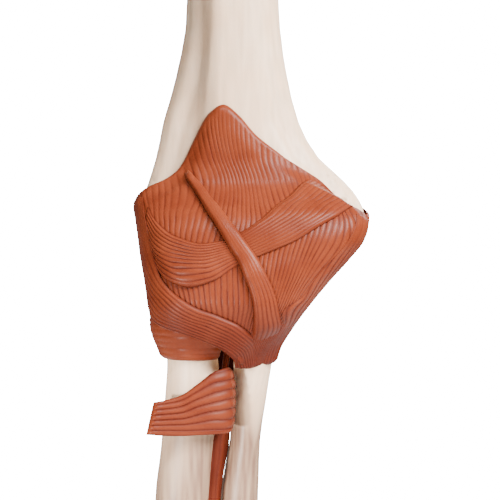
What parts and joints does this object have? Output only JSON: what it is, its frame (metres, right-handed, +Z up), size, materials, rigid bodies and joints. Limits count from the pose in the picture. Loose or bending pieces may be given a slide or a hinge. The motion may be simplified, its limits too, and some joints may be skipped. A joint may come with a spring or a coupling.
{
  "type": "elbow joint model",
  "caption": "Right elbow joint teaching model, ivory bones with red-brown ligaments, the forearm bending and turning on the sawn-off upper arm bone that holds it",
  "frame": {"origin": "middle of the sawn top face of the humerus, where the model is held", "axes": "+Z up along the humerus and out of that face, +X towards the body (medial side of a right arm), +Y to the back of the elbow; the forearm hangs straight down at rest"},
  "size_m": [0.0657, 0.041, 0.215],
  "materials": {
    "cast_bone": "satin",
    "vinyl_ligament": "semi-gloss",
    "pin_steel": "turned"
  },
  "bodies": {
    "upper_arm": {"humerus": "cast_bone", "hinge_pin": "pin_steel", "hinge_pin_plug": "cast_bone", "anterior_capsule": "vinyl_ligament", "transverse_band": "vinyl_ligament", "oblique_band": "vinyl_ligament", "radial_collateral_ligament": "vinyl_ligament", "ulnar_collateral_ligament": "vinyl_ligament", "posterior_capsule": "vinyl_ligament", "lateral_ulnar_collateral_ligament": "vinyl_ligament", "ulnar_collateral_posterior_band": "vinyl_ligament"},
    "ulna_unit": {"ulna": "cast_bone", "hinge_tongue": "pin_steel", "tongue_rivet_upper": "pin_steel", "tongue_rivet_lower": "pin_steel", "annular_ligament": "vinyl_ligament", "interosseous_membrane": "vinyl_ligament", "oblique_cord": "vinyl_ligament"},
    "radius_unit": {"radius": "cast_bone", "biceps_tendon": "vinyl_ligament"}
  },
  "joints": [
    {"name": "elbow_flexion", "type": "hinge", "parent": "upper_arm", "child": "ulna_unit", "pos_m": [-0.00015, -0.01004, -0.11], "axis": [-1, 0, 0], "range_deg": [0, 120], "deforming": ["anterior_capsule", "transverse_band", "oblique_band", "radial_collateral_ligament", "ulnar_collateral_ligament", "posterior_capsule", "lateral_ulnar_collateral_ligament", "ulnar_collateral_posterior_band"]},
    {"name": "forearm_rotation", "type": "hinge", "parent": "ulna_unit", "child": "radius_unit", "pos_m": [-0.01115, -0.01004, -0.11], "axis": [-0.0106, -0.0213, 0.9997], "range_deg": [0, 110], "deforming": ["interosseous_membrane", "oblique_cord", "biceps_tendon"]}
  ]
}
